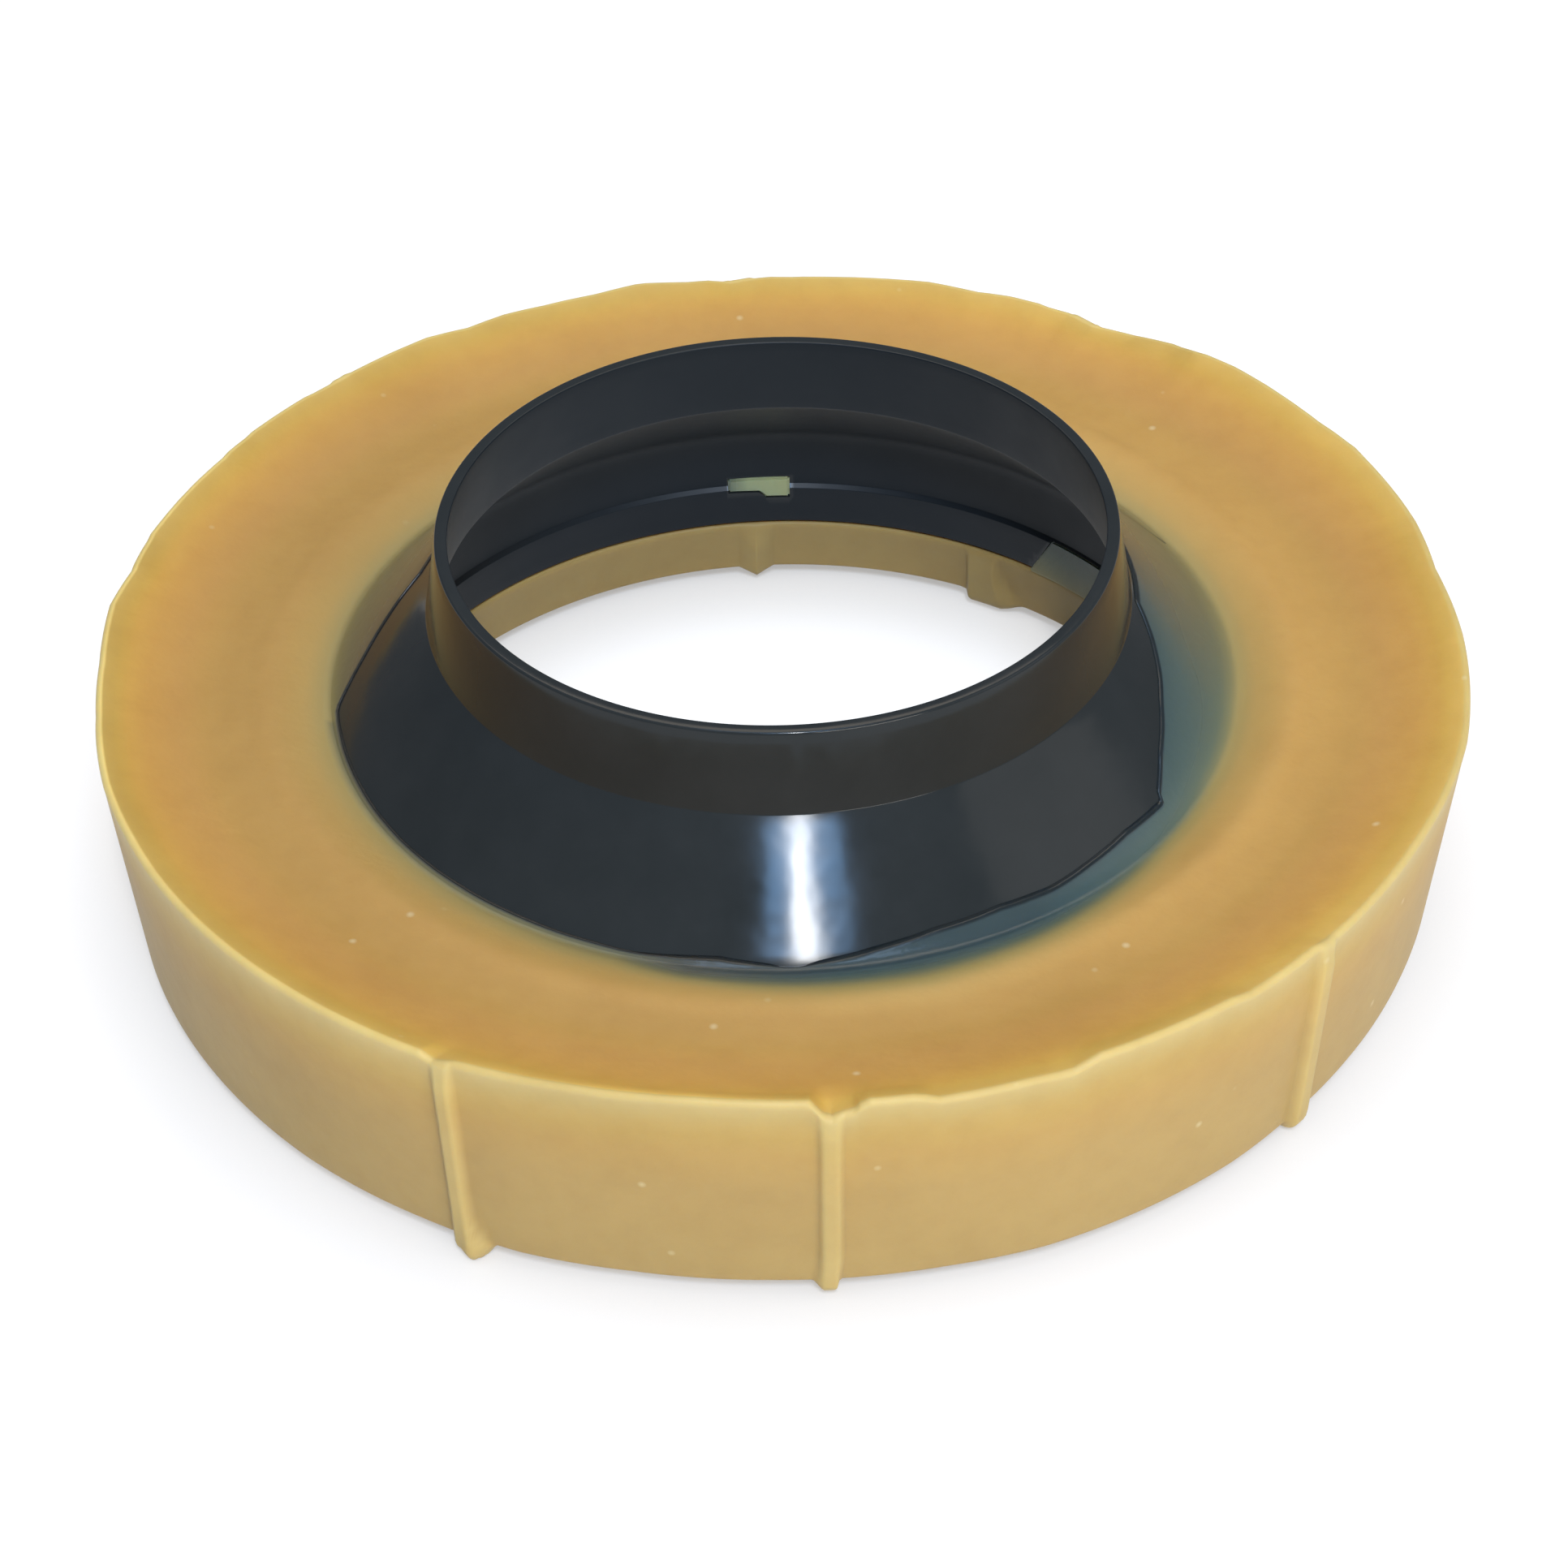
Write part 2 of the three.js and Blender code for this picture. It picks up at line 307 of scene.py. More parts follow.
def subdivided(outline, longest):
    """The same closed outline with no side longer than given."""
    out = []
    for a, b in zip(outline, np.roll(outline, -1, 0)):
        count = max(1, math.ceil(np.linalg.norm(b - a) / longest))
        out.extend(line(a, b, count))
    return np.array(out)


def by_bearing(table, bearings):
    """A value listed by bearing, read at each of the given ones."""
    angles, values = zip(*table)
    return np.interp(bearings, angles, values, period=360)


def waves(bearings, seed, highest, size):
    """Gentle irregularity round the ring, the same at each run."""
    chance = np.random.default_rng(seed)
    total = np.zeros_like(bearings, dtype=float)
    for order in range(2, highest):
        phase, weight = chance.uniform(0, 6.28), chance.uniform(0.3, 1)
        total += np.cos(order * np.radians(bearings) + phase) / math.sqrt(order) * weight
    return size * total / math.sqrt(highest) * 1.4


def columns():
    """Bearings of the ring's mesh columns: every degree, and closer at ribs, nicks and the film's slopes."""
    angles = set(np.round(np.arange(-180, 180, 1.0), 3))
    for rib in RIBS:
        angles |= set(np.round(rib["at"] + np.arange(-3.0, 3.01, 0.2), 3))
    angles |= set(np.round(np.arange(-36, 0, 0.5), 3)) | set(np.round(np.arange(164, 180, 0.5), 3))
    for low, high in FINE_STRETCHES:
        angles |= set(np.round(np.arange(low, high, 0.25), 3))
    wrapped = sorted({round((a + 180) % 360 - 180, 3) for a in angles})
    return np.array([a for a, b in zip(wrapped, wrapped[1:] + [wrapped[0] + 360]) if b - a > 0.09])


def revolve_mesh(name, radius, height, bearings):
    """A closed skin from rows of section points and columns of bearings."""
    rows, cols = radius.shape
    turn = np.radians(bearings)
    points = np.stack([radius * np.cos(turn), radius * np.sin(turn), height], -1).reshape(-1, 3) * MM
    row = np.arange(rows)[:, None]
    col = np.arange(cols)[None, :]
    after, beside = (row + 1) % rows, (col + 1) % cols
    faces = np.stack([row * cols + col, row * cols + beside, after * cols + beside, after * cols + col], -1)
    mesh = bpy.data.meshes.new(name)
    mesh.from_pydata(points.tolist(), [], faces.reshape(-1, 4).tolist())
    mesh.polygons.foreach_set("use_smooth", np.ones(rows * cols, dtype=bool))
    mesh.update()
    return mesh


def add_attribute(mesh, name, values):
    """Gives each point of a mesh a number, for the materials to read."""
    layer = mesh.attributes.new(name, "FLOAT", "POINT")
    layer.data.foreach_set("value", np.ascontiguousarray(values, dtype=np.float32).ravel())


def place(name, mesh, material, node_name):
    """Puts a finished mesh into the scene, in the place of its CAD node."""
    piece = bpy.data.objects.new(name, mesh)
    bpy.context.scene.collection.objects.link(piece)
    mesh.materials.append(material)
    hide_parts(node_name)
    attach(piece, "root")
    return piece


def wax_section():
    """The ring's section as points and the zone of each: from the bore round the outside and back."""
    draft = (RING_RADIUS - FOOT_RADIUS) / RING_HEIGHT
    wall_foot = (FOOT_RADIUS + 1.4 * draft, UNDERSIDE + 1.4)
    wall_upper = (RING_RADIUS - draft * 4, LIP - 4)
    wall_top = (RING_RADIUS - draft * LIP_ROUND, LIP - LIP_ROUND - 0.1)
    dish = [
        DISH_EDGE, (RING_RADIUS - 7.3, LIP - 2.1), (RING_RADIUS - 11.6, LIP - 2.95),
        (RING_RADIUS - 15, LIP - 2.95), (COLLAR_RADIUS + 5.5, LIP - 2.8), (COLLAR_RADIUS + 0.4, CONE_FOOT + 0.2),
    ]
    zones = {
        "under": line((BORE_RADIUS + 0.5, UNDERSIDE), (FOOT_RADIUS - 1.1, UNDERSIDE), 14),
        "foot": bend((FOOT_RADIUS - 1.0, UNDERSIDE + 1.0), 1.0, -90, -5, 7),
        "wall": np.concatenate([line(wall_foot, wall_upper, 14), line(wall_upper, wall_top, 9)]),
        "lip": bend((RING_RADIUS - LIP_ROUND, LIP - LIP_ROUND), LIP_ROUND, 0, 100, 7),
        "dish": np.concatenate([
            line((RING_RADIUS - LIP_ROUND - 0.3, LIP - 0.07), DISH_EDGE, 7),
            flowing(dish, 36),
        ]),
        "film": np.zeros((FILM_ROWS, 2)),
        "seat": np.zeros((2, 2)),
        "socket": np.array([
            (COLLAR_RADIUS + WAX_GAP, CONE_FOOT - 0.4),
            (COLLAR_RADIUS + WAX_GAP, FLANGE_TOP + WAX_GAP),
            (FLANGE_RADIUS + WAX_GAP, FLANGE_TOP + WAX_GAP),
            (FLANGE_RADIUS + WAX_GAP, FLANGE_UNDER - WAX_GAP),
            (COLLAR_RADIUS + WAX_GAP, FLANGE_UNDER - WAX_GAP),
            (COLLAR_RADIUS + WAX_GAP, BORE_TOP),
        ]),
        "bore": np.concatenate([
            bend((SKIRT_FOOT + 0.3, BORE_TOP - 0.3), 0.3, 90, 180, 3),
            line((SKIRT_FOOT + 0.05, BORE_TOP - 0.8), (BORE_RADIUS - 0.02, UNDERSIDE + 0.9), 9),
            bend((BORE_RADIUS + 0.5, UNDERSIDE + 0.5), 0.5, 180, 262, 4),
        ]),
    }
    points = np.concatenate(list(zones.values()))
    names = np.concatenate([[zone] * len(p) for zone, p in zones.items()])
    return points, names


def outward(points):
    """Unit normals of a closed section, pointing out of the wax."""
    ahead = np.roll(points, -1, 0) - np.roll(points, 1, 0)
    normal = np.stack([ahead[:, 1], -ahead[:, 0]], 1)
    return normal / np.maximum(np.linalg.norm(normal, axis=1, keepdims=True), 1e-9)


def rib_push(bearings, radius, height, names, rib):
    """How far one bar pushes each point of the skin out."""
    across = radius * np.sin(np.radians(bearings - rib["at"]))
    same_side = np.cos(np.radians(bearings - rib["at"])) > 0
    under, at_bore = (names == "under")[:, None], (names == "bore")[:, None]
    from_wall, from_bore = FOOT_RADIUS - 1 - radius, radius - BORE_RADIUS - 0.5
    # One at the foot of the wall or the bore, and fading over about 2.5 mm from there
    foot = np.where(
        under,
        np.exp(-((np.minimum(np.abs(from_wall), np.abs(from_bore)) / 2.5) ** 2)),
        np.exp(-(((height - UNDERSIDE) / 2.6) ** 2)),
    )
    clockwise, counter = rib["bulge"]
    soft = 0.45 + 0.5 * foot
    band = 1.0
    for bulge, start, offset in ((counter, 0.6, across), (clockwise, 0.4, -across)):
        crisp_edge = rib["half"] + bulge * foot * start - 0.4
        soft_edge = rib["half"] + bulge * foot * soft * 2 + 0.45
        band = band * (1 - smooth(crisp_edge, soft_edge, offset))
    peak = np.clip(1 - np.abs(across) / (rib["half"] + 0.5), 0, 1)
    near_bore = np.where(at_bore, 1.0, np.where(under, 1 - smooth(0, 5, from_bore), 0.0)) * rib["point"]
    band = band * (1 - near_bore) + peak * near_bore
    foot_rows, wall_rows, bore = names == "foot", names == "wall", names == "bore"
    proud = np.zeros(radius.shape)
    proud[names == "under"] = rib["base"]
    proud[foot_rows] = np.linspace(rib["base"], rib["wall"] + 0.2, foot_rows.sum())[:, None]
    proud[wall_rows] = rib["wall"] * np.interp(height[wall_rows], [3, LIP - 3, LIP - 0.6], [1.2, 1.0, 0.45])
    proud[names == "lip"] = rib["wall"] * np.linspace(0.45, 0, (names == "lip").sum())[:, None]
    proud[bore] = rib["bore"] * smooth(0, 8, np.arange(bore.sum()))[:, None]
    reach = 1.0 if rib["bore"] else np.where(under, smooth(2, 5, from_bore), 1.0)
    knob = 0.15 * (clockwise + counter) + rib["knob"] * smooth(-0.5, 1.0, across)
    swell = np.where(under, 1.0, 1 + knob * foot)
    return np.where(same_side, proud * band * swell * reach, 0)


def film_rows(bearings, count):
    """Section points of the film that climbs the cone, how far each has climbed and how far it goes."""
    climb = by_bearing(FILM_LINE, bearings) * CONE_HEIGHT + waves(bearings, 11, 60, 0.1)
    climb = np.maximum(climb, 0.16 + np.abs(waves(bearings, 12, 170, 0.22)))
    share = np.linspace(0, 1, count - 2)[:, None] ** 1.5
    edge = by_bearing(FILM_EDGE, bearings)
    up = share * np.maximum(climb - edge - 0.2, climb * 0.3)[None, :]
    up = np.concatenate([up, (climb - edge * np.minimum(climb, 1))[None, :], climb[None, :]])
    fillet = by_bearing(FILM_FILLET, bearings)
    thick = FILM + (fillet[None, :] - FILM) * np.exp(-up / 0.8)
    thick[-1] = 0.05
    radius = COLLAR_RADIUS - up + thick * math.sqrt(0.5)
    height = CONE_FOOT + up + thick * math.sqrt(0.5)
    return radius, height, up, climb


def build_wax_skin():
    """The ring as one closed skin, with the numbers that its material reads."""
    bearings = columns()
    points, names = wax_section()
    corner = np.array([[COLLAR_RADIUS, CONE_FOOT]])
    normals = outward(np.where((names == "film")[:, None], corner, points))
    radius = np.repeat(points[:, :1], len(bearings), 1)
    height = np.repeat(points[:, 1:], len(bearings), 1)

    film_r, film_z, film_up, climb = film_rows(bearings, FILM_ROWS)
    radius[names == "film"], height[names == "film"] = film_r, film_z
    edge = (COLLAR_RADIUS - climb + 0.03, CONE_FOOT + climb + 0.01)
    back = (COLLAR_RADIUS - climb * 0.5 + 0.02, CONE_FOOT + climb * 0.5 + 0.01)
    radius[names == "seat"] = np.array([edge[0], back[0]])
    height[names == "seat"] = np.array([edge[1], back[1]])

    turn = bearings[None, :]
    push = np.zeros_like(radius)
    for rib in RIBS:
        push = np.maximum(push, rib_push(turn, radius, height, names, rib))

    lip_rise = by_bearing(LIP_LINE, bearings) + waves(bearings, 3, 150, 0.09)
    from_lip = RING_RADIUS - LIP_ROUND - points[:, 0]
    inner = names == "dish"
    share = np.where(
        inner,
        np.exp(-((np.maximum(from_lip, 0) / 2.2) ** 2)),
        smooth(LIP - 4, LIP - 0.8, points[:, 1]),
    )
    share = np.where(np.isin(names, ["wall", "lip", "dish"]), share, 0)
    height += share[:, None] * lip_rise[None, :]

    # The lip and the foot wander from the round, and the dish and the underside with them
    fall = np.clip((LIP - points[:, 1]) / RING_HEIGHT, 0, 1)
    near_lip = np.where(
        inner,
        np.clip(1 - from_lip / 9, 0, 1),
        np.isin(names, ["wall", "foot", "lip"]) * (1 - fall),
    )
    near_foot = np.where(
        names == "under",
        np.clip(1 - (FOOT_RADIUS - points[:, 0]) / 12, 0, 1),
        np.isin(names, ["wall", "foot"]) * fall,
    )
    wander = near_lip[:, None] * (by_bearing(LIP_OUT, bearings) + waves(bearings, 5, 24, 0.1))[None, :]
    wander = wander + near_foot[:, None] * by_bearing(FOOT_OUT, bearings)[None, :]
    radius += wander
    dish_wave = waves(bearings, 6, 9, 0.1)[None, :] * np.sin(np.linspace(0, math.pi, inner.sum()))[:, None]
    height[inner] += dish_wave
    # A small rise of the dish at the cone's foot, where the dark film runs out over it
    reach = by_bearing(DARK_REACH, bearings)[None, :]
    out = np.maximum(radius[inner] - COLLAR_RADIUS, 0)
    height[inner] += 0.3 * reach * np.clip(1 - out / (reach + 1.2), 0, 1) ** 2

    radius += push * normals[:, :1]
    height = np.maximum(height + push * normals[:, 1:], 0.02)

    show = by_bearing(SHOW_THROUGH, bearings)[None, :]
    out = np.maximum(radius - COLLAR_RADIUS - reach, 0)
    fading = np.clip(1 - out / by_bearing(FADE, bearings)[None, :], 0, 1)
    cover = np.where(inner[:, None], show * fading ** (1.3 + 0.8 * np.maximum(show - 0.5, 0)), 0)
    thin = by_bearing(FILM_SHOW, bearings)[None, :]
    to_edge = film_up / climb[None, :]
    cover[names == "film"] = (
        show + (thin - show) * (1 - np.exp(-film_up / 1.2)) + (0.9 - thin).clip(0) * to_edge**3
    )
    # Where the film stops short at the left front, its edge is painted as a black line, a painted shadow against
    # the plastic
    bare = np.interp(bearings, *zip(*BARE_EDGE))[None, :] * (0.6 + 0.4 * smooth(0.5, 0.85, to_edge))
    cover[names == "film"] = np.maximum(cover[names == "film"], bare)
    # Painted shadow: the film's last two rows and its seat are fully dark, a shadow line along its edge
    cover[np.flatnonzero(names == "film")[-2:]] = 1.0
    cover[names == "seat"] = 1.0
    # How far each point is from the lip's crest, down the wall or across the dish, as a share of TONE_DEPTH
    crest = LIP + lip_rise[None, :]
    depth = np.where(inner[:, None], RING_RADIUS - 0.4 - radius + wander, crest - height)
    depth = np.where(np.isin(names, ["under", "bore", "foot"])[:, None], 20, depth)
    depth = np.clip(depth / TONE_DEPTH, 0, 1)
    outside = np.where(np.isin(names, ["wall", "foot", "under", "bore"]), 1.0, 0.0)
    outside[names == "lip"] = np.linspace(1, 0.3, (names == "lip").sum())
    shown = np.isin(names, ["wall", "foot", "lip"])
    raised = np.clip(push / 0.6, 0, 1) * np.where(shown, 1, 0.3)[:, None]
    # A crack in the film runs down to the foot at the back right, between two bearings
    low, high, crack_top = CRACK
    along = (bearings - low) / (high - low) * crack_top * CONE_HEIGHT
    crack = np.where((bearings > low) & (bearings < high), along, -9)
    seam = np.full_like(radius, 9.0)
    seam[names == "film"] = film_up - crack[None, :]
    mesh = revolve_mesh("wax_ring_skin", radius, height, bearings)
    add_attribute(mesh, "from_crack", seam)
    add_attribute(mesh, "lit_through", np.zeros_like(radius))
    add_attribute(mesh, "over_plastic", cover)
    add_attribute(mesh, "from_crest", depth)
    add_attribute(mesh, "on_wall", np.repeat(outside[:, None], len(bearings), 1))
    add_attribute(mesh, "raised", raised)
    # Painted light and shade by bearing, on the wall, the dish's floor and slope, the lip and the bore
    from_axis = radius[inner] - wander[inner]
    slope_share = smooth(56.0, 60.5, from_axis)
    tone = np.repeat(by_bearing(WALL_PAINTED_SHADE, bearings)[None, :], len(radius), 0)
    tone *= 1 + by_bearing(WALL_TOP_PAINTED_LIGHT, bearings)[None, :] * np.exp(-((crest - height).clip(0) / 5) ** 2)
    tone[inner] = by_bearing(FLOOR_PAINTED_SHADE, bearings) * (1 - slope_share)
    tone[inner] += by_bearing(SLOPE_PAINTED_SHADE, bearings) * slope_share
    rim_share = smooth(66.2, 68.6, from_axis)
    tone[inner] *= 1 + (by_bearing(LIP_PAINTED_SHADE, bearings)[None, :] - 1) * rim_share
    tone[np.isin(names, ["film", "seat", "socket"])] = 1.0
    tone[names == "bore"] = by_bearing(BORE_PAINTED_SHADE, bearings)
    add_attribute(mesh, "cast_tone", tone)
    warm = by_bearing(WARMTH, bearings)
    add_attribute(mesh, "warmth", np.repeat(warm[None, :], len(radius), 0))
    return mesh


def wedge(opening, inner, outer, trim):
    """A block that fills a skirt opening between two radii, smaller all round by a trim."""
    shape = bmesh.new()
    low, high = opening["low"] + trim * 1.5, np.array(opening["high"]) - trim * 1.5
    rings = []
    for share in np.linspace(0, 1, 19):
        foot, head = low + (high - low) * share
        bottom, top = float(np.interp(foot, *zip(*opening["bottom"]))) + trim, opening["top"] - trim
        corners = ((inner, bottom, foot), (outer, bottom, foot), (outer, top, head), (inner, top, head))
        rings.append([
            shape.verts.new((r * math.cos(math.radians(t)) * MM, r * math.sin(math.radians(t)) * MM, z * MM))
            for r, z, t in corners
        ])
    for a, b in zip(rings, rings[1:]):
        for i in range(4):
            j = (i + 1) % 4
            shape.faces.new((a[i], a[j], b[j], b[i]))
    shape.faces.new(list(reversed(rings[0])))
    shape.faces.new(rings[-1])
    bmesh.ops.recalc_face_normals(shape, faces=shape.faces)
    return shape


def build_horn_skin():
    """The horn as one closed skin, before its openings are cut."""
    rise = HORN_WALL / math.cos(math.radians(45))
    neck_inner = SHOULDER_RADIUS - HORN_WALL
    shoulder_inner = SHOULDER + HORN_WALL - rise
    foot_inner = shoulder_inner - (COLLAR_BORE - neck_inner)
    outline = rounded([
        (RIM_RADIUS - HORN_WALL, RIM_TOP, 0.14),
        (neck_inner, shoulder_inner, 0.5),
        (COLLAR_BORE, foot_inner, 3.0),
        (COLLAR_BORE, STEP + 0.22, 0.1),
        (SKIRT_BORE, STEP - 0.22, 0.12),
        (SKIRT_FOOT, SKIRT_BOTTOM, 0.2),
        (COLLAR_RADIUS, SKIRT_BOTTOM, 0.2),
        (COLLAR_RADIUS, FLANGE_UNDER, 0.15),
        (FLANGE_RADIUS, FLANGE_UNDER, 0.3),
        (FLANGE_RADIUS, FLANGE_TOP, 0.3),
        (COLLAR_RADIUS, FLANGE_TOP, 0.15),
        (COLLAR_RADIUS, CONE_FOOT, 0.4),
        (SHOULDER_RADIUS, SHOULDER, 0.22),
        (RIM_RADIUS, RIM_TOP, 0.3),
    ])[::-1]
    outline = subdivided(outline, 1.2)
    bearings = np.arange(-180, 180, 0.9)
    radius = np.repeat(outline[:, :1], len(bearings), 1)
    height = np.repeat(outline[:, 1:], len(bearings), 1)
    upper = smooth(CONE_FOOT, RIM_TOP, height)
    radius += upper * (waves(bearings, 21, 6, 0.10) + waves(bearings, 22, 14, 0.02))[None, :]
    mesh = revolve_mesh("horn_skin", radius, height, bearings)
    # The wall's inner face, where its normal points at the axis
    facing = outward(outline)[:, 0]
    add_attribute(mesh, "inside", np.repeat(smooth(0.1, 1.0, facing)[:, None], len(bearings), 1))
    return mesh


def cut_opening(piece, opening):
    """Cuts a skirt opening through the horn's mesh."""
    shape = wedge(opening, SKIRT_BORE - 1.2, COLLAR_RADIUS + 0.15, 0.0)
    mesh = bpy.data.meshes.new("opening_cutter")
    shape.to_mesh(mesh)
    shape.free()
    cutter = bpy.data.objects.new("opening_cutter", mesh)
    bpy.context.scene.collection.objects.link(cutter)
    cut = piece.modifiers.new("opening", "BOOLEAN")
    cut.operation = "DIFFERENCE"
    cut.solver = "EXACT"
    cut.object = cutter
    bpy.context.view_layer.update()
    shaped = bpy.data.meshes.new_from_object(piece.evaluated_get(bpy.context.evaluated_depsgraph_get()))
    piece.modifiers.clear()
    old = piece.data
    piece.data = shaped
    bpy.data.meshes.remove(old)
    bpy.data.objects.remove(cutter)
    bpy.data.meshes.remove(mesh)


def wax_material(settings):
    """Petroleum wax, poured and set: soft, waxy sheen, light seeping in, painted light where thin, and painted
    shade.
    """
    material, tree = new_material("poured petroleum wax")
    coords = node(tree, "ShaderNodeTexCoord").outputs["Object"]
    # Cloudy patches about 14 mm across, and finer curds of 3 mm
    cloud = node(tree, "ShaderNodeTexNoise", {"Scale": 1 / 0.014, "Detail": 3.0, "Roughness": 0.55},
                 {"Vector": coords})
    curd = node(tree, "ShaderNodeTexNoise", {"Scale": 1 / 0.003, "Detail": 4.0, "Roughness": 0.6},
                {"Vector": coords})
    # Down the wall and across the dish from the lip's crest, with stops as shares of TONE_DEPTH
    # Partly painted light and shade: paler at the thin crest, darker down the wall, lighter on the dish's slope
    crest = node(tree, "ShaderNodeAttribute", {"attribute_name": "from_crest"})
    wall = node(tree, "ShaderNodeValToRGB", {"stops": (
        (0.0, "CCB67C"), (0.035, "C8B072"), (0.085, "C4A867"), (0.13, "C3A35F"), (0.19, "C09E58"),
        (0.29, "BD9957"), (0.5, "B6965A"), (0.95, "B2955B"),
    )}, {"Fac": crest.outputs["Fac"]})
    dish = node(tree, "ShaderNodeValToRGB", {"stops": (
        (0.0, "CFAF5F"), (0.03, "D1AA55"), (0.075, "D0A54D"), (0.12, "CD9D49"), (0.2, "C79549"),
        (0.33, "C0904B"), (0.45, "BC904A"), (0.7, "BF9450"), (0.85, "B8914D"),
    )}, {"Fac": crest.outputs["Fac"]})
    side = node(tree, "ShaderNodeAttribute", {"attribute_name": "on_wall"})
    base = node(tree, "ShaderNodeMix", {"data_type": "RGBA"},
                {"Factor": side.outputs["Fac"], 6: dish.outputs["Color"], 7: wall.outputs["Color"]})
    # Painted light: the bars are painted paler, as thin wax that catches the light
    bar = node(tree, "ShaderNodeAttribute", {"attribute_name": "raised"})
    thin = node(tree, "ShaderNodeMath", {"operation": "MULTIPLY", 1: 0.45}, {0: bar.outputs["Fac"]})
    barred = node(tree, "ShaderNodeMix", {"data_type": "RGBA", 7: linear("CFB978")},
                  {"Factor": thin.outputs[0], 6: base.outputs[2]})
    # Clouds and curds shift the wax a shade browner here and there
    patch = node(tree, "ShaderNodeMapRange", {"From Min": 0.4, "From Max": 0.75, "To Min": 0.0, "To Max": 0.3},
                 {"Value": cloud.outputs["Fac"]})
    curds = node(tree, "ShaderNodeMapRange", {"From Min": 0.4, "From Max": 0.75, "To Min": 0.0, "To Max": 0.22},
                 {"Value": curd.outputs["Fac"]})
    shade = node(tree, "ShaderNodeMath", {"operation": "ADD"},
                 {0: patch.outputs["Result"], 1: curds.outputs["Result"]})
    mottled = node(tree, "ShaderNodeMix", {"data_type": "RGBA", "blend_type": "MULTIPLY", 7: linear("E6DFD6")},
                   {"Factor": shade.outputs[0], 6: barred.outputs[2]})
    # Pale specks 0.6 mm across, some 6.5 mm apart, where bubbles burst against the tray
    pits = node(tree, "ShaderNodeTexVoronoi", {"Scale": 1 / 0.0065}, {"Vector": coords})
    speck = node(tree, "ShaderNodeMapRange",
                 {"From Min": 0.02, "From Max": 0.075, "To Min": 0.4, "To Max": 0.0},
                 {"Value": pits.outputs["Distance"]})
    specked = node(tree, "ShaderNodeMix", {"data_type": "RGBA", 7: linear("E2D3A8")},
                   {"Factor": speck.outputs["Result"], 6: mottled.outputs[2]})
    # Painted light and shade: lighter and darker stretches by bearing round the ring
    cast = node(tree, "ShaderNodeAttribute", {"attribute_name": "cast_tone"})
    toned = node(tree, "ShaderNodeVectorMath", {"operation": "SCALE"},
                 {0: specked.outputs[2], "Scale": cast.outputs["Fac"]})
    # Wax so thin over the black cone that the plastic shows through: grey green, or brown on the shaded side
    cover = node(tree, "ShaderNodeAttribute", {"attribute_name": "over_plastic"})
    warmth = node(tree, "ShaderNodeAttribute", {"attribute_name": "warmth"})
    cool = node(tree, "ShaderNodeValToRGB", {"stops": (
        (0.0, "BF9B57"), (0.2, "B59455"), (0.4, "9F8A52"), (0.55, "797553"), (0.66, "5F6755"),
        (0.8, "4E5C56"), (0.9, "405050"), (0.965, "394547"), (1.0, "22282A"),
    )}, {"Fac": cover.outputs["Fac"]})
    warm = node(tree, "ShaderNodeValToRGB", {"stops": (
        (0.0, "BD9856"), (0.2, "B49355"), (0.4, "9F8A54"), (0.55, "80734C"), (0.66, "70664B"),
        (0.8, "655B49"), (0.9, "554D40"), (0.965, "48433A"), (1.0, "2B2823"),
    )}, {"Fac": cover.outputs["Fac"]})
    film = node(tree, "ShaderNodeMix", {"data_type": "RGBA"},
                {"Factor": warmth.outputs["Fac"], 6: cool.outputs["Color"], 7: warm.outputs["Color"]})
    veil = node(tree, "ShaderNodeMapRange", {"From Min": 0.0, "From Max": 0.3, "To Min": 0.0, "To Max": 1.0},
                {"Value": cover.outputs["Fac"]})
    veiled = node(tree, "ShaderNodeMix", {"data_type": "RGBA"},
                  {"Factor": veil.outputs["Result"], 6: toned.outputs[0], 7: film.outputs[2]})
    # The key in the skirt's small opening, which light reaches from behind
    lit = node(tree, "ShaderNodeAttribute", {"attribute_name": "lit_through"})
    keyed = node(tree, "ShaderNodeMix", {"data_type": "RGBA", 7: linear("CFD8A0")},
                 {"Factor": lit.outputs["Fac"], 6: veiled.outputs[2]})
    # A hairline crack, 0.25 mm wide
    crack = node(tree, "ShaderNodeAttribute", {"attribute_name": "from_crack"})
    away = node(tree, "ShaderNodeMath", {"operation": "ABSOLUTE"}, {0: crack.outputs["Fac"]})
    hair = node(tree, "ShaderNodeMapRange", {"From Min": 0.06, "From Max": 0.2, "To Min": 0.75, "To Max": 0.0},
                {"Value": away.outputs[0]})
    colour = node(tree, "ShaderNodeMix", {"data_type": "RGBA", 7: linear("3A342A")},
                  {"Factor": hair.outputs["Result"], 6: keyed.outputs[2]})
    gloss = node(tree, "ShaderNodeMapRange", {"From Min": 0.3, "From Max": 0.9, "To Min": 0.5, "To Max": 0.2},
                 {"Value": cover.outputs["Fac"]})
